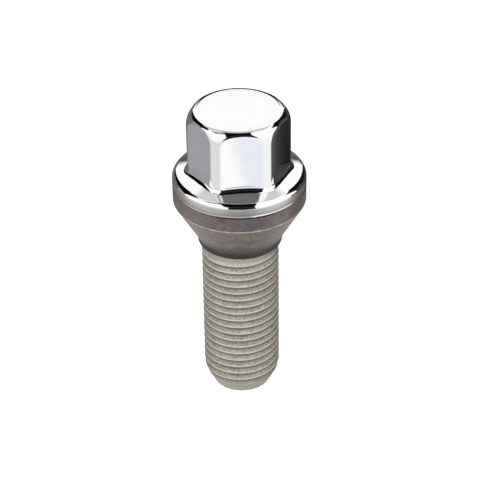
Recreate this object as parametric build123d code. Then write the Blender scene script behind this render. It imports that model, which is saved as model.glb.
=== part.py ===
from build123d import *
from math import cos, radians, tan
import os

# Wheel bolt in millimetres: one forged and turned steel piece. It stands on the face of its
# tip at z = 0, with its axis on Z and the head up, and the front of the hexagon faces -Y.

# Shank, plain at the diameter over the crests of its M14 x 1.5 thread
shank_diameter = 14.0
shank_length = 31.3  # tip face to the underside of the seat
lead_length = 2.8  # cone at the tip that leads the thread in
lead_angle = 54.0  # full angle of that cone
ease_length = 1.35  # cone of half that angle, which eases it into the shank

# Conical seat
seat_step = 0.65  # how far its small end stands out from the shank
seat_bevel = 0.3  # edge of the small end
seat_land = 1.3  # straight land below the cone
seat_angle = 60.0  # full angle

# Flange
flange_ledge = 2.76  # how far it stands out from the corners of the hexagon
band_height = 3.0  # unplated band above the cone
rim_height = 2.25  # plated rim, up to its sharp corner
rim_round = 0.8
shoulder_angle = 17.6  # slope of the flange top
plating_line_width = 0.3  # turned line where the plating ends
plating_line_depth = 0.08

# Hexagon
hex_across_flats = 16.7
hex_corner_trim = 0.45  # turned off each corner
hex_height = 11.45  # above the place where the slope meets the flats
hex_turn = 3.9  # degrees the front flat is turned to the right
hex_root_round = 1.0  # blend between the slope and the hexagon
crown_width = 2.0  # rounding of the top, across
crown_drop = 2.6  # and down

# Radii and heights that follow
shank_r = shank_diameter / 2
ease_r = shank_r - ease_length * tan(radians(lead_angle / 4))
tip_r = ease_r - lead_length * tan(radians(lead_angle / 2))
seat_r = shank_r + seat_step
flat_r = hex_across_flats / 2
corner_r = flat_r / cos(radians(30)) - hex_corner_trim
flange_r = corner_r + flange_ledge

cone_foot = shank_length + seat_land
cone_top = cone_foot + (flange_r - seat_r) / tan(radians(seat_angle / 2))
plating_z = cone_top + band_height
rim_top = plating_z + rim_height
shoulder_slope = tan(radians(shoulder_angle))
hex_foot = rim_top + (flange_r - flat_r) * shoulder_slope
head_top = hex_foot + hex_height


def turned_body():
    """Everything that is turned: shank, seat, flange and the slope up to the hexagon."""
    half_line = plating_line_width / 2
    slope_end = rim_top + (flange_r - shank_r) * shoulder_slope
    outline = [
        (0, 0),
        (tip_r, 0),
        (ease_r, lead_length),
        (shank_r, lead_length + ease_length),
        (shank_r, shank_length),
        (seat_r - seat_bevel, shank_length),
        (seat_r, shank_length + seat_bevel),
        (seat_r, cone_foot),
        (flange_r, cone_top),
        (flange_r, plating_z - half_line),
        (flange_r - plating_line_depth, plating_z),
        (flange_r, plating_z + half_line),
        (flange_r, rim_top),
        (shank_r, slope_end),
        (0, slope_end),
    ]
    section = make_face(Polyline(*outline, close=True))
    section = fillet(section.vertices().sort_by_distance((flange_r, rim_top))[0], rim_round)
    return revolve(Plane.XZ * section, Axis.Z)


def crowned_hexagon():
    """The hexagon, a flat towards +X, in the turned crown that trims its corners and top."""
    height = head_top - rim_top
    flats = extrude(RegularPolygon(flat_r, 6, major_radius=False, rotation=30), height)
    middle = (corner_r - crown_width, height - crown_drop)
    rounding = EllipticalCenterArc(middle, crown_width, crown_drop, arc_size=90)
    rest = Polyline(rounding @ 1, (0, height), (0, 0), (corner_r, 0), rounding @ 0)
    crown = revolve(Plane.XZ * make_face([rounding, rest]), Axis.Z)
    return Pos(0, 0, rim_top) * (flats & crown)


body = turned_body()
hexagon = crowned_hexagon()
bolt = body + hexagon
bolt = fillet(new_edges(body, hexagon, combined=bolt), hex_root_round)
bolt = Rot(0, 0, hex_turn - 90) * bolt

os.makedirs("parts", exist_ok=True)
export_step(bolt, "parts/wheel_bolt.step")
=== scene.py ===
from math import asin, ceil, cos, pi, radians, sin, tan

import bpy
import numpy as np
from mathutils import Matrix, Vector


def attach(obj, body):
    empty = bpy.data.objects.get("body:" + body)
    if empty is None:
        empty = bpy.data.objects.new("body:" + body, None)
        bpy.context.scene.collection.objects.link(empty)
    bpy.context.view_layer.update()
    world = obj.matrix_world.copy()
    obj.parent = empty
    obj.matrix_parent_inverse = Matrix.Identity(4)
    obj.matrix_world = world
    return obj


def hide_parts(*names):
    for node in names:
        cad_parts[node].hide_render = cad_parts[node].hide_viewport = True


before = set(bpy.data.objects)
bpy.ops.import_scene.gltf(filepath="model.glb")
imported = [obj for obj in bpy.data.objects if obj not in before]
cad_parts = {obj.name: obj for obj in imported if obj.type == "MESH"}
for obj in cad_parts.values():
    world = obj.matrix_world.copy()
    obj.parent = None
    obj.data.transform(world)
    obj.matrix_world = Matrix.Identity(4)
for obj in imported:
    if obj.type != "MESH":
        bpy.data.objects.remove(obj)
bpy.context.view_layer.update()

# Millimetres and degrees, as in the part's source. Meshes, materials and lights are given metres.
MM = 0.001

# Shank and thread
shank_r = 7.0
shank_length = 31.3
lead_length = 2.8
lead_angle = 27.0  # half angle of the lead cone
ease_length = 1.35
lead_blend = 0.12  # width over which the lead cone, the ease and the shank blend
tip_edge = 0.2  # rounding of the edge of the tip face
tip_ring = 1.0  # radius of the innermost ring of the tip face
pitch = 1.5
thread_depth = 0.87
flank_angle = 30.0
crest_flat = 0.25
crest_round = 0.16
root_round = 0.2
thread_phase = 1.035  # height of a crest's middle at the front
thread_low = 1.2  # the helix starts at this height
thread_high = 30.4  # and ends at this one
runout_low = 28.6  # the groove's floor rises from here
runout_high = 30.2  # and is level with the crests here
runout_blend = 0.1
neck_r = 6.93
neck_flare = 0.02  # how much wider the neck is at the seat
neck_round = 0.125

# Conical seat
seat_step = 0.65
seat_bevel = 0.3
bevel_upper_round = 0.12
bevel_lower_round = 0.1
seat_land = 1.3
seat_angle = 30.0  # half angle
seat_foot_round = 0.5  # between the land and the cone
seat_top_round = 0.14  # between the cone and the band above it

# Flange
flange_ledge = 2.76
band_height = 3.0
rim_height = 2.25
rim_reach = 0.95  # the rim's rounding starts this far up the slope
rim_fall = 0.85  # and ends this far down the side
shoulder_angle = 17.6
plating_line_width = 0.3
plating_line_depth = 0.08
line_edge_round = 0.08
line_root_round = 0.06

# Hexagon
across_flats = 16.7
corner_trim = 0.45
hex_height = 11.45
hex_turn = 3.9  # degrees the front flat is turned to the right
crown_width = 2.0
crown_drop = 2.6
crown_soft = 0.3  # width over which the flats blend into the crown
foot_round = 1.0
foot_margin = 0.1  # between the blend at the corners and the first round ring

# Fineness of the mesh
edge_zone = 0.1  # radians each side of the hexagon's edges where the columns stand closer
edge_reach = 0.8  # part of that zone which they fill
flat_columns = 15
edge_columns = 9
top_rings = 4
arc_rings = 21
wall_rings = 6
foot_rings = 11
slope_rings = (0.35, 0.7, 1.0)  # parts of the way from the blend to the round rings
rim_rings = 14
merge = 1e-4  # rows of the thread this close to its ends are taken into the end rings
spare = 2  # pitches of rows beyond each end of the thread
ray_near, ray_far = 0.4, 1.1  # parts of a ray's way between which it leaves the head
ray_halvings = 40
head_probe = 1e-3  # slopes are measured over these steps: on the head,
wall_probe = 2e-4  # round the hexagon's wall, in radians,
thread_probe = 0.01  # and on the thread
well_inside = -1.0  # stands for the distance in the middle of the crown
tiny = 1e-6  # below this a length counts as none

# Radii, heights and directions that follow
ease_r = shank_r - ease_length * tan(radians(lead_angle / 2))
tip_r = ease_r - lead_length * tan(radians(lead_angle))
root_r = shank_r - thread_depth
seat_r = shank_r + seat_step
flat_r = across_flats / 2
corner_r = flat_r / cos(radians(30)) - corner_trim
flange_r = corner_r + flange_ledge
cone_foot = shank_length + seat_land
cone_top = cone_foot + (flange_r - seat_r) / tan(radians(seat_angle))
plating_z = cone_top + band_height
rim_top = plating_z + rim_height
slope = tan(radians(shoulder_angle))
head_top = rim_top + (flange_r - flat_r) * slope + hex_height
crown_r = corner_r - crown_width
crown_z = head_top - crown_drop
crown_middle = np.array([0, 0, crown_z])
sixth = pi / 3
hex_front = radians(hex_turn - 90)  # direction of the front flat
thread_front = radians(270)  # direction in which thread_phase is measured

# Directions of the columns of vertices: closer together near the edges of the hexagon
half_flat = np.arccos(flat_r / corner_r)
sector = np.concatenate([
    np.linspace(edge_zone - half_flat, half_flat - edge_zone, flat_columns),
    half_flat + edge_zone * np.linspace(-edge_reach, edge_reach, edge_columns),
])
sector = np.unique(np.round(np.concatenate([sector, sixth - sector]) % sixth, 6))
turns = np.concatenate([hex_front + k * sixth + sector for k in range(6)])
columns = len(turns)


def smooth_max(a, b, width):
    """The larger of two values, blended over a width."""
    blend = np.maximum(width - np.abs(a - b), 0) / width
    return np.maximum(a, b) + blend * blend * width / 4


def smooth_min(a, b, width):
    """The smaller of two values, blended over a width."""
    return -smooth_max(-a, -b, width)


def unit(vectors):
    """Vectors of length 1 with the same directions."""
    return vectors / np.linalg.norm(vectors, axis=-1, keepdims=True)


def at(r, turn, z):
    """Points at a radius, a direction and a height."""
    return np.stack(np.broadcast_arrays(r * np.cos(turn), r * np.sin(turn), z), axis=-1)


def facing(parts, turn):
    """Vectors in a direction, from their parts away from the axis, round it and up."""
    away, along, up = np.moveaxis(parts, -1, 0)
    c, s = np.cos(turn), np.sin(turn)
    return np.stack([away * c - along * s, away * s + along * c, up], axis=-1)


def head_gap(points):
    """Distance, nearly, from the surface of the hexagon and its crown: negative inside."""
    x, y, z = np.moveaxis(points, -1, 0)
    r = np.hypot(x, y)
    local = (np.arctan2(y, x) - hex_front + sixth / 2) % sixth - sixth / 2
    flats = r * np.cos(local) - flat_r
    across = np.maximum(r - crown_r, 0)
    up = np.maximum(z - crown_z, 0)
    near_1 = np.hypot(across / crown_width, up / crown_drop)
    near_2 = np.hypot(across / crown_width ** 2, up / crown_drop ** 2)
    crown = near_1 * (near_1 - 1) / np.maximum(near_2, tiny)
    return smooth_max(flats, np.where(near_2 > tiny, crown, well_inside), crown_soft)


def head_normal(points):
    """Unit vectors square to the hexagon and its crown."""
    made = np.empty_like(points)
    for k in range(3):
        shift = np.zeros(3)
        shift[k] = head_probe
        made[..., k] = head_gap(points + shift) - head_gap(points - shift)
    return unit(made)


def head_hit(start, aim):
    """Where rays from start through aim leave the head, found by halving."""
    low = np.full(aim.shape[:-1], ray_near)
    high = np.full(aim.shape[:-1], ray_far)
    for _ in range(ray_halvings):
        middle = (low + high) / 2
        inside = head_gap(start + (aim - start) * middle[..., None]) < 0
        low = np.where(inside, middle, low)
        high = np.where(inside, high, middle)
    return start + (aim - start) * ((low + high) / 2)[..., None]


def wall_radius(turn):
    """Radius of the hexagon's wall in some directions."""
    hit = head_hit(crown_middle, at(corner_r, turn, crown_z))
    return np.hypot(hit[:, 0], hit[:, 1])


def rounded_line(corners, turn_step):
    """Points and outward normals down a line of corners (r, z, round), each corner rounded."""
    places = [np.array(c[:2], float) for c in corners]
    ways = [unit(b - a) for a, b in zip(places, places[1:])]
    squares = [np.array((-w[1], w[0])) for w in ways]
    points = [places[0]]
    normals = [squares[0]]
    for k in range(1, len(places) - 1):
        one, two, square = ways[k - 1], ways[k], squares[k - 1]
        bend = asin(max(-1, min(1, one[0] * two[1] - one[1] * two[0])))
        side = -1 if bend < 0 else 1
        radius = corners[k][2]
        centre = places[k] - one * radius * tan(abs(bend) / 2) + square * radius * side
        steps = max(2, ceil(abs(bend) / radians(turn_step)))
        for i in range(steps + 1):
            c, s = cos(bend * i / steps), sin(bend * i / steps)
            n = np.array((square[0] * c - square[1] * s, square[0] * s + square[1] * c))
            points.append(centre - n * radius * side)
            normals.append(n)
    points.append(places[-1])
    normals.append(squares[-1])
    return np.array(points), np.array(normals)


def curved_corner(start, corner, end, steps):
    """Points and outward normals of a curve from start to end, along the corner's sides there."""
    t = np.linspace(0, 1, steps + 1)[:, None]
    points = (1 - t) ** 2 * start + 2 * t * (1 - t) * corner + t ** 2 * end
    ways = (1 - t) * (corner - start) + t * (end - corner)
    return points, unit(np.stack([-ways[:, 1], ways[:, 0]], axis=-1))


class Shell:
    """Vertices, normals and faces of one closed skin, gathered ring by ring from the top down."""

    def __init__(self):
        self.points, self.normals, self.faces, self.regions = [], [], [], []
        self.count = 0

    def add(self, points, normals):
        """Adds vertices and gives their numbers."""
        numbers = self.count + np.arange(len(points))
        self.points.append(points)
        self.normals.append(normals)
        self.count += len(points)
        return numbers

    def ring(self, r, z, parts):
        """Adds a vertex in each column, with the parts of its normal away from the axis, round it and up."""
        return self.add(at(r, turns, z), facing(np.broadcast_to(parts, (columns, 3)), turns))

    def turned_ring(self, place, normal):
        """Adds a ring of a turned outline, whose place and normal are given as (r, z)."""
        return self.ring(place[0], place[1], (normal[0], 0.0, normal[1]))

    def height(self, ring):
        """Mean height of a ring."""
        return np.concatenate(self.points)[ring][:, 2].mean()

    def span(self, upper, lower, region):
        """Faces between two rings."""
        quads = np.stack([upper, lower, np.roll(lower, -1), np.roll(upper, -1)], axis=-1)
        self.faces.extend(map(tuple, quads.tolist()))
        self.regions.extend([region] * len(quads))

    def fan(self, ring, tip, region, up):
        """Closes a ring with one vertex."""
        after = np.roll(ring, -1)
        for a, b in zip(ring.tolist(), after.tolist()):
            self.faces.append((tip, a, b) if up else (tip, b, a))
            self.regions.append(region)


HEAD, SEAT, THREAD = range(3)
shell = Shell()

# Crown: rays fan out from a place on the axis, over the top and down to where the flats stand upright
arc = np.linspace(radians(90), 0, arc_rings)
top_r = np.linspace(0, crown_r, top_rings + 2)[1:-1]
fan_r = np.concatenate([top_r, crown_r + crown_width * np.cos(arc)])
fan_z = np.concatenate([np.full(top_rings, head_top), crown_z + crown_drop * np.sin(arc)])
crown_points = head_hit(crown_middle, at(fan_r[:, None], turns, fan_z[:, None]))
rings = [shell.add(p, n) for p, n in zip(crown_points, head_normal(crown_points))]
top = shell.add(np.array([[0, 0, head_top]]), np.array([[0.0, 0, 1]]))[0]
shell.fan(rings[0], top, HEAD, True)

# Walls of the hexagon, the blend at their foot and the slope of the flange
wall_r = wall_radius(turns)
wall_turn = (wall_radius(turns + wall_probe) - wall_radius(turns - wall_probe)) / (2 * wall_probe)
wall_n = unit(np.stack([np.ones(columns), -wall_turn / wall_r, np.zeros(columns)], axis=-1))
blend_r = wall_r + foot_round
blend_z = rim_top + (flange_r - blend_r) * slope + foot_round / cos(radians(shoulder_angle))
for part in np.linspace(0, 1, wall_rings + 1)[1:]:
    rings.append(shell.ring(wall_r, crown_z + (blend_z - crown_z) * part, wall_n))
for a in np.linspace(0, radians(90 - shoulder_angle), foot_rings + 1)[1:]:
    r = blend_r - foot_round * cos(a)
    z = blend_z - foot_round * sin(a)
    r_a, z_a = sin(a), -cos(a)
    n = np.stack([-r * z_a, wall_turn * z_a + wall_turn * slope * r_a, r * r_a], axis=-1)
    rings.append(shell.ring(r, z, unit(n)))
slope_start = blend_r - foot_round * sin(radians(shoulder_angle))
slope_end = corner_r + foot_round + foot_margin

# Turned outline from the slope down to the neck under the seat
half_line = plating_line_width / 2
shoulder = np.array((-cos(radians(shoulder_angle)), sin(radians(shoulder_angle))))
rim_corner = np.array((flange_r, rim_top))
rim_start, rim_end = rim_corner + rim_reach * shoulder, rim_corner - (0, rim_fall)
rim, rim_n = curved_corner(rim_start, rim_corner, rim_end, rim_rings)
line, line_n = rounded_line([
    (flange_r, rim_top - rim_fall, 0),
    (flange_r, plating_z + half_line, line_edge_round),
    (flange_r - plating_line_depth, plating_z, line_root_round),
    (flange_r, plating_z - half_line, line_edge_round),
    (flange_r, cone_top, seat_top_round),
    (seat_r, cone_foot, seat_foot_round),
    (seat_r, shank_length + seat_bevel, bevel_upper_round),
    (seat_r - seat_bevel, shank_length, bevel_lower_round),
    (neck_r + neck_flare, shank_length, neck_round),
    (neck_r, thread_high, 0),
], turn_step=7.0)
for part in slope_rings:
    r = slope_start + (slope_end - slope_start) * part
    rings.append(shell.turned_ring((r, rim_top + (flange_r - r) * slope), rim_n[0]))
for p, n in zip(np.concatenate([rim, line[1:]]), np.concatenate([rim_n, line_n[1:]])):
    rings.append(shell.turned_ring(p, n))

# Each span takes its finish from its height
heights = [shell.height(ring) for ring in rings]
for upper, lower, high, low in zip(rings, rings[1:], heights, heights[1:]):
    middle = (high + low) / 2
    region = HEAD if middle > plating_z else SEAT if middle > shank_length + tiny else THREAD
    shell.span(upper, lower, region)

# Thread: the outline of one pitch runs up the shank as a helix
root_half = crest_flat / 2 + thread_depth * tan(radians(flank_angle))
pitch_line, _ = rounded_line([
    (root_r, pitch / 2, 0),
    (root_r, root_half, root_round),
    (shank_r, crest_flat / 2, crest_round),
    (shank_r, -crest_flat / 2, crest_round),
    (root_r, -root_half, root_round),
    (root_r, -pitch / 2, 0),
], turn_step=20.0)
pitch_r, pitch_z = pitch_line[::-1].T
per_pitch = len(pitch_z) - 1


def climb(turn):
    """How far the helix climbs over a turn in radians."""
    return pitch * turn / (2 * pi)


def shank_radius(z, turn):
    """Radius of the threaded shank: lead cones at the tip, run-out under the seat."""
    across = (z - thread_phase - climb(turn - thread_front) + pitch / 2) % pitch - pitch / 2
    thread = np.interp(across, pitch_z, pitch_r)
    groove = root_r + thread_depth * (z - runout_low) / (runout_high - runout_low)
    thread = np.minimum(smooth_max(thread, groove, runout_blend), shank_r)
    lead = tip_r + z * tan(radians(lead_angle))
    ease = ease_r + (z - lead_length) * tan(radians(lead_angle / 2))
    limit = smooth_min(smooth_min(lead, ease, lead_blend), shank_r, lead_blend)
    return np.minimum(thread, limit)


def shank_normals(z, turn, r):
    """Unit vectors square to the threaded shank, as parts away from the axis, round it and up."""
    e = thread_probe
    by_z = (shank_radius(z + e, turn) - shank_radius(z - e, turn)) / (2 * e)
    by_turn = (shank_radius(z, turn + e / r) - shank_radius(z, turn - e / r)) / (2 * e)
    return unit(np.stack([np.ones_like(z), -by_turn, -by_z], axis=-1))


# Rows of vertices along the helix, from half a pitch above a crest: crests and roots are almost equally
# wide, so the rows fit both. Rows beyond the ends are taken into a ring at each end.
row_start = thread_phase + climb(turns[0] - thread_front) + pitch / 2
row_start -= pitch * ceil((row_start - thread_low) / pitch + spare)
pitches = ceil((thread_high - thread_low) / pitch) + 2 * spare + 1
row_z = np.concatenate([row_start + k * pitch + pitch_z[:-1] for k in range(pitches)])
column = turns[:, None]
grid_z = row_z + climb(column - turns[0])
grid_r = shank_radius(grid_z, column)
grid_n = shank_normals(grid_z, column, grid_r)
low_z = np.full(columns, thread_low)
low_r = shank_radius(low_z, turns)
low_ring = shell.ring(low_r, low_z, shank_normals(low_z, turns, low_r))
high_ring = rings[-1]
below = grid_z <= thread_low + merge
inside = ~below & (grid_z < thread_high - merge)
numbers = np.zeros((columns + 1, len(row_z)), dtype=int)
numbers[:columns] = np.where(below, low_ring[:, None], high_ring[:, None])
numbers[:columns][inside] = shell.add(at(grid_r, column, grid_z)[inside], facing(grid_n, column)[inside])

# After a full turn, the first column comes again one pitch further up
numbers[columns, :-per_pitch] = numbers[0, per_pitch:]
numbers[columns, -per_pitch:] = high_ring[0]
for k in range(columns):
    for j in range(len(row_z) - 1):
        corners = [numbers[k, j], numbers[k + 1, j], numbers[k + 1, j + 1], numbers[k, j + 1]]
        corners = [int(v) for i, v in enumerate(corners) if v != corners[i - 1]]
        if len(set(corners)) >= 3:
            shell.faces.append(tuple(corners))
            shell.regions.append(THREAD)

# Lead cone below the thread, and the tip face
tip, tip_n = rounded_line([
    (float(low_r.mean()), thread_low, 0),
    (tip_r, 0, tip_edge),
    (tip_ring, 0, 0),
], turn_step=8.0)
above = low_ring
for p, n in zip(tip[1:], tip_n[1:]):
    ring = shell.turned_ring(p, n)
    shell.span(above, ring, THREAD)
    above = ring
bottom = shell.add(np.array([[0, 0, 0.0]]), np.array([[0.0, 0, -1]]))[0]
shell.fan(above, bottom, THREAD, False)


def material(name):
    """A new material with no nodes yet, and its node tree."""
    made = bpy.data.materials.new(name)
    made.use_nodes = True
    made.node_tree.nodes.clear()
    return made, made.node_tree


def node(tree, kind, sets=None, links=None, **props):
    """Adds a node, sets its sockets and links them."""
    made = tree.nodes.new(kind)
    for key, value in props.items():
        setattr(made, key, value)
    for key, value in (sets or {}).items():
        made.inputs[key].default_value = value
    for key, value in (links or {}).items():
        tree.links.new(value, made.inputs[key])
    return made


def calc(tree, operation, a, b=0.0, clamp=False):
    """Result of a Math node on one or two values, each a number or a socket."""
    made = node(tree, "ShaderNodeMath", operation=operation, use_clamp=clamp)
    for socket, value in zip(made.inputs, (a, b)):
        if isinstance(value, (int, float)):
            socket.default_value = value
        else:
            tree.links.new(value, socket)
    return made.outputs[0]


def product(tree, first, *others):
    """All the values multiplied."""
    for other in others:
        first = calc(tree, "MULTIPLY", first, other)
    return first


def total(tree, first, *others):
    """All the values added."""
    for other in others:
        first = calc(tree, "ADD", first, other)
    return first


def ramp(tree, value, low, high, start=0.0, end=1.0):
    """A value that goes smoothly from start to end while another goes from low to high."""
    made = node(tree, "ShaderNodeMapRange", interpolation_type="SMOOTHSTEP")
    for key, number in (("From Min", low), ("From Max", high), ("To Min", start), ("To Max", end)):
        made.inputs[key].default_value = number
    tree.links.new(value, made.inputs["Value"])
    return made.outputs["Result"]


def zone(tree, value, low, high, start=0.0, end=1.0):
    """A ramp over places, with low and high in millimetres."""
    return ramp(tree, value, low * MM, high * MM, start, end)


def mix(tree, part, a, b):
    """Colour between a and b, each a colour or a socket."""
    made = node(tree, "ShaderNodeMix", links={0: part}, data_type="RGBA")
    for socket, value in zip((made.inputs[6], made.inputs[7]), (a, b)):
        if isinstance(value, tuple):
            socket.default_value = (*value, 1.0)
        else:
            tree.links.new(value, socket)
    return made.outputs[2]


def layered(tree, colour, layers):
    """Colour with layers (part, colour) laid over it, one after the other."""
    for part, over in layers:
        colour = mix(tree, part, colour, over)
    return colour


def noise(tree, place, scale, detail=3.0, stretch=(1.0, 1.0, 1.0)):
    """Noise value over the object, its scale per metre; stretch scales the coordinates first."""
    moved = node(tree, "ShaderNodeMapping", {"Scale": stretch}, {"Vector": place})
    made = node(tree, "ShaderNodeTexNoise", {"Scale": scale, "Detail": detail}, {"Vector": moved.outputs[0]})
    return made.outputs["Fac"]


def parts_of(tree, vector):
    """The x, y and z of a vector."""
    return node(tree, "ShaderNodeSeparateXYZ", links={"Vector": vector}).outputs


def object_place(tree):
    """Object coordinates, in metres."""
    return node(tree, "ShaderNodeTexCoord").outputs["Object"]


def output(tree, shader):
    """Makes a shader the material's surface."""
    node(tree, "ShaderNodeOutputMaterial", links={0: shader.outputs[0]})


def surface(tree, colour, metallic, roughness, height, depth, strength, turned=None, gloss=0.5):
    """Principled shader with a bump. Where turned is above 0, turning marks spread the gloss up and down."""
    bump = node(tree, "ShaderNodeBump", {"Strength": strength, "Distance": depth * MM}, {"Height": height})
    shader = node(tree, "ShaderNodeBsdfPrincipled", {"Specular IOR Level": gloss}, {
        "Base Color": colour, "Metallic": metallic, "Roughness": roughness, "Normal": bump.outputs[0]})
    if turned is not None:
        quarter_turn = 0.25
        round_axis = node(tree, "ShaderNodeTangent", direction_type="RADIAL", axis="Z")
        shader.inputs["Anisotropic Rotation"].default_value = quarter_turn
        tree.links.new(turned, shader.inputs["Anisotropic"])
        tree.links.new(round_axis.outputs[0], shader.inputs["Tangent"])
    output(tree, shader)


def bright_plating():
    """Mirror plating of the head, satin on the flange's side, with a bright burr along the plating line
    whose white is partly a painted highlight, on the front right only.
    """
    cool, warm = (0.955, 0.96, 0.965), (0.98, 0.98, 0.975)
    satin_dark, satin_light, satin_worn = (0.6, 0.605, 0.595), (0.72, 0.72, 0.71), (0.3, 0.295, 0.28)
    burr_highlight_white = (0.97, 0.97, 0.96)
    satin_edge = (rim_top - 0.7, rim_top - 0.45)
    worn_edge = (plating_z, plating_z + 1.3)
    burr_highlight_left, burr_highlight_right = (1.5, 3.0), (9.8, 8.8)
    burr_highlight_top = (plating_z + 0.36, plating_z + 0.28)
    ledge_front = (-7.8, -9.0)
    satin_rough, ledge_rough, burr_highlight_rough = 0.42, 0.05, 0.15
    ledge_dull, burr_highlight_dull = 0.16, 0.9  # how much less metallic they are
    satin_spread = 0.85  # how much the satin's turning marks spread the gloss
    fine_height = 0.12  # height of the fine grain beside the turning marks

    made, tree = material("bright_plating")
    place = object_place(tree)
    x, y, z = parts_of(tree, place)
    upward = parts_of(tree, node(tree, "ShaderNodeNewGeometry").outputs["Normal"])[2]
    cloud = noise(tree, place, 260.0)
    fine = noise(tree, place, 1800.0, 4.0)
    lines = noise(tree, place, 900.0, 2.0, (0.05, 0.05, 6.0))
    side = zone(tree, z, *satin_edge, 1.0, 0.0)
    satin = mix(tree, ramp(tree, lines, 0.4, 0.6), satin_dark, satin_light)
    satin = mix(tree, zone(tree, z, *worn_edge, 0.75, 0.0), satin, satin_worn)
    # Burr along the plating line, painted near white as a highlight where the edge catches light, only on
    # the front right
    burr_highlight = product(tree, zone(tree, x, *burr_highlight_left, 0.35, 1.0), zone(tree, x, *burr_highlight_right),
                   zone(tree, z, *burr_highlight_top), ramp(tree, fine, 0.3, 0.5, 0.45, 1.0))
    ledge = product(tree, ramp(tree, upward, 0.90, 0.945), ramp(tree, upward, 0.962, 0.985, 1.0, 0.0),
                    zone(tree, y, *ledge_front))
    colour = mix(tree, ramp(tree, cloud, 0.35, 0.65), cool, warm)
    colour = layered(tree, colour, [(side, satin), (burr_highlight, burr_highlight_white)])
    rough = total(tree, product(tree, side, satin_rough), product(tree, ledge, ledge_rough),
                  ramp(tree, fine, 0.3, 0.7, 0.03, 0.06), product(tree, burr_highlight, burr_highlight_rough))
    height = total(tree, product(tree, fine, fine_height), product(tree, lines, side))
    metal = calc(tree, "SUBTRACT", 1.0, product(tree, ledge, ledge_dull))
    metal = calc(tree, "SUBTRACT", metal, product(tree, burr_highlight, burr_highlight_dull), clamp=True)
    surface(tree, colour, metal, rough, height, depth=0.01, strength=0.3,
            turned=product(tree, side, satin_spread))
    return made


def tinted_seat():
    """Bare steel of the seat and the band above it, brown and violet from heat, with painted shade at its
    foot, painted light on its sides, a worn top edge with a painted highlight and a seam with a painted
    shadow.
    """
    brown_dark, brown_light = (0.148, 0.116, 0.097), (0.248, 0.206, 0.175)
    violet, slate, side_light_tan = (0.215, 0.172, 0.185), (0.135, 0.135, 0.148), (0.37, 0.32, 0.285)
    grain_light, grain_dark = (0.32, 0.295, 0.27), (0.06, 0.05, 0.045)
    foot_shade, bare_edge_highlight, seam_shadow_dark = (0.04, 0.038, 0.036), (0.62, 0.59, 0.55), (0.02, 0.018, 0.016)
    band_edge = (cone_top - 0.6, cone_top)
    slate_left, slate_right, slate_foot = (-1.0, 3.0), (9.5, 6.5), (cone_top - 0.2, cone_top)
    side_light_zone = (3.5, 9.5)
    foot_shade_zone = (shank_length + 0.2, cone_foot + 3.2)
    wear_highlight_low, wear_highlight_high = (cone_top - 0.21, cone_top - 0.07), (cone_top + 0.07, cone_top + 0.21)
    seam_shadow_left, seam_shadow_right, seam_shadow_foot = (-6.0, -2.0), (8.5, 5.0), (plating_z - 0.3, plating_z - 0.18)
    speck_height = 0.4  # height of the specks beside the grain

    made, tree = material("tinted_seat")
    place = object_place(tree)
    x, _, z = parts_of(tree, place)
    cloud = noise(tree, place, 420.0, 4.0, (1.0, 1.0, 1.4))
    tint = noise(tree, place, 300.0)
    grain = noise(tree, place, 2300.0, 4.0, (0.55, 0.55, 1.5))
    speck = noise(tree, place, 4200.0, 2.0)
    heat = product(tree, zone(tree, z, *band_edge, 0.3, 1.0), ramp(tree, tint, 0.4, 0.6, 0.0, 0.7))
    cooler = product(tree, zone(tree, x, *slate_left), zone(tree, x, *slate_right),
                     zone(tree, z, *slate_foot, 0.0, 0.55))
    # Painted light: the cone's sides are paler, standing in for the bright surroundings they mirror
    side_light = zone(tree, calc(tree, "ABSOLUTE", x), *side_light_zone, 0.0, 0.45)
    # Worn edge at the top of the cone, made paler also as a painted highlight where the edge catches light
    wear_highlight = product(tree, zone(tree, z, *wear_highlight_low), zone(tree, z, *wear_highlight_high, 1.0, 0.0),
                   ramp(tree, grain, 0.25, 0.6, 0.3, 1.0))
    # Seam under the plating line, darkened as a painted shadow under the flange's edge
    seam_shadow = product(tree, zone(tree, x, *seam_shadow_left, 0.2, 1.0), zone(tree, x, *seam_shadow_right, 0.2, 1.0),
                   zone(tree, z, *seam_shadow_foot))
    colour = mix(tree, ramp(tree, cloud, 0.32, 0.68), brown_dark, brown_light)
    colour = layered(tree, colour, [
        (heat, violet),
        (cooler, slate),
        (side_light, side_light_tan),
        (ramp(tree, grain, 0.48, 0.78, 0.0, 0.55), grain_light),
        (ramp(tree, grain, 0.5, 0.25, 0.0, 0.5), grain_dark),
        # Painted shade: darker towards the foot of the cone, which faces down
        (zone(tree, z, *foot_shade_zone, 0.85, 0.0), foot_shade),
        (wear_highlight, bare_edge_highlight),
        (seam_shadow, seam_shadow_dark),
    ])
    metal = ramp(tree, cloud, 0.3, 0.7, 0.78, 0.88)
    rough = ramp(tree, cloud, 0.3, 0.7, 0.42, 0.52)
    height = total(tree, grain, product(tree, speck, speck_height))
    surface(tree, colour, metal, rough, height, depth=0.04, strength=0.6)
    return made


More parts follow.
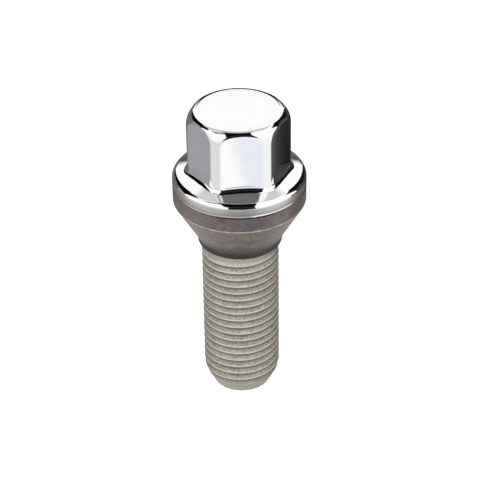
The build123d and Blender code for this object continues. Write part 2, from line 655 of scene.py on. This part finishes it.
def coated_thread():
    """Grey-beige coating of the thread: crests pale from wear and a painted highlight, painted shade in the
    roots and under the seat, thin on the lead cone, which is also paler as painted floor light.
    """
    beige_dark, beige_light = (0.317, 0.293, 0.247), (0.427, 0.4, 0.345)
    grain_dark, grain_light = (0.19, 0.175, 0.142), (0.62, 0.6, 0.54)
    crest_pale_highlight, root_shade = (0.57, 0.55, 0.49), (0.11, 0.1, 0.082)
    neck_shade, lead_pale_light = (0.2, 0.185, 0.155), (0.46, 0.44, 0.385)
    crest_highlight_zone = (shank_r - 0.12, shank_r + 0.09)
    crest_ragged = 0.16  # how far the grain moves the edge of the pale crests
    root_shade_zone = (root_r, shank_r - 0.35 * thread_depth)
    neck_shade_zone = (runout_high - 0.5, runout_high + 0.3)
    lead_zone = (2.2, 3.0)
    lead_colour, lead_metal = 0.65, 0.25  # how much of the lead cone's pale colour, partly painted floor light, and its metal show

    made, tree = material("coated_thread")
    place = object_place(tree)
    x, y, z = parts_of(tree, place)
    r = calc(tree, "SQRT", total(tree, product(tree, x, x), product(tree, y, y)))
    cloud = noise(tree, place, 420.0, 4.0)
    grain = noise(tree, place, 2600.0, 4.0)
    ragged_r = total(tree, r, product(tree, grain, crest_ragged * MM))
    # Lead cone: thinner coating with more metal, and paler as painted light from the bright floor it faces
    thin_coat_and_light = zone(tree, z, *lead_zone, 1.0, 0.0)
    colour = mix(tree, ramp(tree, cloud, 0.3, 0.7), beige_dark, beige_light)
    colour = layered(tree, colour, [
        (ramp(tree, grain, 0.52, 0.32, 0.0, 0.55), grain_dark),
        (ramp(tree, grain, 0.5, 0.7, 0.0, 0.6), grain_light),
        # Pale crests: wear, and a painted highlight where the crests catch light
        (zone(tree, ragged_r, *crest_highlight_zone, 0.0, 0.75), crest_pale_highlight),
        # Painted shade in the roots, where the crest above shades the groove
        (zone(tree, r, *root_shade_zone, 0.85, 0.0), root_shade),
        # Painted shade at the top of the thread, under the seat
        (zone(tree, z, *neck_shade_zone, 0.0, 0.6), neck_shade),
        (product(tree, thin_coat_and_light, lead_colour), lead_pale_light),
    ])
    metal = total(tree, ramp(tree, cloud, 0.3, 0.7, 0.06, 0.14), product(tree, thin_coat_and_light, lead_metal))
    rough = ramp(tree, cloud, 0.3, 0.7, 0.36, 0.46)
    surface(tree, colour, metal, rough, grain, depth=0.08, strength=0.7, gloss=0.15)
    return made


# The bolt's visible mesh
points = np.concatenate(shell.points) * MM
normals = np.concatenate(shell.normals)
mesh = bpy.data.meshes.new("bolt_skin")
mesh.from_pydata(points.tolist(), [], shell.faces)
for made in (bright_plating(), tinted_seat(), coated_thread()):
    mesh.materials.append(made)
mesh.polygons.foreach_set("material_index", np.array(shell.regions, dtype=np.int32))
mesh.polygons.foreach_set("use_smooth", np.ones(len(mesh.polygons), dtype=bool))
mesh.update()
mesh.normals_split_custom_set_from_vertices([tuple(n) for n in normals])
bolt = bpy.data.objects.new("bolt_skin", mesh)
scene = bpy.context.scene
scene.collection.objects.link(bolt)
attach(bolt, "root")
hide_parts("wheel_bolt")

# Camera, as fitted to the photo
camera_distance = 349.76
camera_height = 33.77  # degrees above the horizon
camera_roll = -0.85
camera_lens = 144.49
camera_sensor = 36.0
camera_aim = Vector((-0.035, 0, 30.6))
camera = bpy.data.objects.new("camera", bpy.data.cameras.new("camera"))
camera.data.lens = camera_lens
camera.data.sensor_width = camera_sensor
back = Vector((0, -cos(radians(camera_height)), sin(radians(camera_height))))
look = (-back).to_track_quat("-Z", "Y")
camera.rotation_mode = "QUATERNION"
camera.rotation_quaternion = look @ Matrix.Rotation(radians(camera_roll), 3, "Z").to_quaternion()
camera.location = (camera_aim + back * camera_distance) * MM
scene.collection.objects.link(camera)
bpy.context.scene.camera = camera

# World: white to the camera and in reflections, a little even light for everything else
ambient_light = 0.06
scene.view_settings.view_transform = "Standard"
world = bpy.data.worlds.new("studio")
scene.world = world
world.use_nodes = True
tree = world.node_tree
tree.nodes.clear()
path = node(tree, "ShaderNodeLightPath").outputs
seen = calc(tree, "MAXIMUM", path["Is Camera Ray"], path["Is Glossy Ray"])
seen = calc(tree, "MAXIMUM", seen, path["Is Transmission Ray"])
ambient = node(tree, "ShaderNodeBackground", {"Color": (1, 1, 1, 1), "Strength": ambient_light})
white = node(tree, "ShaderNodeBackground", {"Color": (1, 1, 1, 1), "Strength": 1.0})
both = node(tree, "ShaderNodeMixShader", links={0: seen, 1: ambient.outputs[0], 2: white.outputs[0]})
node(tree, "ShaderNodeOutputWorld", links={0: both.outputs[0]})

# Lamps
lamp_aim = Vector((0, 0, 30))


def lamp(name, place, size, power):
    """Soft area lamp aimed at the bolt, which the metal doesn't mirror."""
    data = bpy.data.lights.new(name, "AREA")
    data.size = size * MM
    data.energy = power
    made = bpy.data.objects.new(name, data)
    made.location = Vector(place) * MM
    made.rotation_mode = "QUATERNION"
    made.rotation_quaternion = (lamp_aim - Vector(place)).to_track_quat("-Z", "Y")
    made.visible_glossy = False
    made.visible_camera = False
    scene.collection.objects.link(made)


lamp("key", (-105, -620, 320), 420, 5.75)
lamp("fill", (450, -350, 400), 400, 0.2)
lamp("rear", (60, 620, 320), 420, 2.6)


def grey(shade):
    """A grey of one shade."""
    return (shade, shade, shade)


def floor_material():
    """Pale floor, white to the camera, with the bolt's shadow. Metal mirrors it as dark and pale patches."""
    floor_grey = 0.62
    camera_lift = 0.78  # light added for the camera, so that the floor looks white
    flat_way = radians(39.1)  # the strip of floor that the right flat mirrors runs this way from +X
    strip_edge = (-11.3, -5.8)

    made, tree = material("floor")
    place = object_place(tree)
    x, y, _ = parts_of(tree, place)
    path = node(tree, "ShaderNodeLightPath").outputs
    across = calc(tree, "SUBTRACT", product(tree, y, cos(flat_way)), product(tree, x, sin(flat_way)))
    in_strip = zone(tree, across, *strip_edge)  # 1 in the strip and behind it
    from_axis = node(tree, "ShaderNodeVectorMath", links={0: place}, operation="LENGTH").outputs["Value"]
    behind = mix(tree, zone(tree, x, -15, -30), grey(0.03), (0.14, 0.14, 0.135))
    left = mix(tree, zone(tree, x, -12, -45), grey(1.0), (0.74, 0.74, 0.73))
    mirror = layered(tree, left, [
        # Right of the bolt, first a little blue, then pale
        (zone(tree, x, 9.4, 13.4), (0.825, 0.85, 0.905)),
        (zone(tree, x, 26, 45), grey(0.92)),
        # Further away on the left and on the right, from beside the bolt backwards
        (product(tree, zone(tree, x, -50, -70), zone(tree, y, -12, 18)), (0.34, 0.34, 0.36)),
        (product(tree, zone(tree, x, 52, 60), zone(tree, y, -20, 0)), (0.085, 0.085, 0.087)),
        # From the strip backwards, on the right and behind the bolt
        (product(tree, zone(tree, x, 51, 60), in_strip), grey(0.012)),
        (product(tree, zone(tree, y, 46, 70), in_strip), behind),
        # In front of the bolt, close to it: a painted shadow of the bolt, seen only in the metal's
        # reflections
        (product(tree, zone(tree, from_axis, 82, 60), zone(tree, y, -35, -55)), grey(0.15)),
    ])
    matte = node(tree, "ShaderNodeBsdfDiffuse", {"Color": (*grey(floor_grey), 1)})
    lift = node(tree, "ShaderNodeEmission", {"Color": (1, 1, 1, 1)},
                {"Strength": product(tree, path["Is Camera Ray"], camera_lift)})
    shown = node(tree, "ShaderNodeAddShader", links={0: matte.outputs[0], 1: lift.outputs[0]})
    mirrored = node(tree, "ShaderNodeEmission", {"Strength": 1.0}, {"Color": mirror})
    output(tree, node(tree, "ShaderNodeMixShader", links={
        0: path["Is Glossy Ray"], 1: shown.outputs[0], 2: mirrored.outputs[0]}))
    return made


def flat_object(name, corners, made):
    """One flat face with a material, in the scene."""
    flat_mesh = bpy.data.meshes.new(name)
    flat_mesh.from_pydata([tuple(v * MM for v in c) for c in corners], [], [tuple(range(len(corners)))])
    flat_mesh.materials.append(made)
    thing = bpy.data.objects.new(name, flat_mesh)
    scene.collection.objects.link(thing)
    return thing


floor_half = 4000
floor_signs = [(-1, -1), (1, -1), (1, 1), (-1, 1)]
floor_corners = [(i * floor_half, j * floor_half, 0) for i, j in floor_signs]
floor = flat_object("floor", floor_corners, floor_material())


def card(name, corners, shades, axis):
    """Studio card that only metal sees. Its shades are given at places along one axis."""
    made, tree = material(name)
    along = parts_of(tree, object_place(tree))[axis]
    first, last = shades[0][0], shades[-1][0]
    part = node(tree, "ShaderNodeMapRange",
                {"From Min": first * MM, "From Max": last * MM}, {"Value": along}).outputs[0]
    steps = node(tree, "ShaderNodeValToRGB", links={0: part})
    while len(steps.color_ramp.elements) < len(shades):
        steps.color_ramp.elements.new(0.5)
    for element, (where, shade) in zip(steps.color_ramp.elements, shades):
        element.position = (where - first) / (last - first)
        element.color = (*grey(shade), 1)
    output(tree, node(tree, "ShaderNodeEmission", {"Strength": 1.0}, {"Color": steps.outputs[0]}))
    thing = flat_object(name, corners, made)
    thing.visible_camera = False
    thing.visible_diffuse = False
    thing.visible_shadow = False
    thing.visible_transmission = False


def around(turn, far=300.0):
    """Place on the floor in a direction in degrees: 0 is the front, to the right positive."""
    return far * sin(radians(turn)), -far * cos(radians(turn))


def upright(name, a, b, low, high, shades):
    """Card standing between two places on the floor, its shades given at heights."""
    card(name, [(*a, low), (*b, low), (*b, high), (*a, high)], shades, 2)


# Ceiling with a bay on each side, and a pale strip to its left: the crown and the rim mirror them
ceiling_z = 350
front_y = -500
front_left, front_right = (-165, front_y), (235, front_y)
left_x, right_x = -88, 72  # the ceiling's narrowest part
bay_start, bay_end = 62, 215
pale_x, pale_start, pale_end = -215, -75, 20
ceiling_edge = [
    front_left, front_right, (160, -300), (105, -120), (right_x, -10), (right_x, bay_start),
    (150, bay_start), (150, bay_end), (-180, bay_end), (-180, bay_start),
    (left_x, bay_start), (left_x, -10), (-115, -120), (-165, -300),
]
pale_edge = [(pale_x, pale_start), (-101, pale_start), (left_x, -10), (left_x, pale_end), (pale_x, pale_end)]
card("ceiling", [(*c, ceiling_z) for c in ceiling_edge], [
    (front_y, 0.03), (-246, 0.012), (-170, 0.004), (30, 0.0), (55, 0.5), (100, 0.55), (180, 0.6),
    (bay_end, 1.0)], 1)
card("ceiling_left", [(*c, ceiling_z) for c in pale_edge], [(pale_start, 0.3), (pale_end, 0.3)], 1)

# Walls of the studio, which the flats and the rim mirror
back_y = 260
back_x, back_side_x = 55, 118
back_top, back_side_top = 200, 148
left_low, left_top = 126, 441  # the dark wall on the left
right_top = 370
grey_near, grey_low, grey_top = 260, 55, 150  # the grey card in front of the dark wall on the right
upright("front", front_left, front_right, 0, ceiling_z,
        [(0, 0.25), (50, 0.1), (75, 0.04), (138, 0.02), (180, 0.006), (ceiling_z, 0.006)])
upright("back", (-back_x, back_y), (back_x, back_y), 0, back_top,
        [(0, 0.02), (172, 0.02), (184, 0.1), (196, 0.85), (back_top, 0.93)])
for side in (-1, 1):
    upright("back_side", (side * back_x, back_y), (side * back_side_x, back_y), 0, back_side_top,
            [(0, 0.16), (100, 0.13), (112, 0.08), (122, 0.1), (136, 0.75), (back_side_top, 1.0)])
card("back_left", [(*around(-98), left_low), (*around(-153.5), left_low), (*around(-145), left_top),
                   (*around(-98), left_top)], [(left_low, 0.0), (left_top, 0.0)], 2)
upright("left_low", around(-97), around(-116), 0, left_low, [(0, 0.33), (left_low, 0.33)])
upright("back_left_low", around(-116), around(-156), 0, left_low, [(0, 0.2), (left_low, 0.08)])
card("back_right", [(*around(103), 0), (*around(157), 0), (*around(147), right_top),
                    (*around(103), right_top)], [(0, 0.07), (57, 0.035), (110, 0.008), (right_top, 0.0)], 2)
upright("right_grey", around(109, grey_near), around(122, grey_near), grey_low, grey_top,
        [(grey_low, 0.045), (100, 0.055), (grey_top, 0.07)])
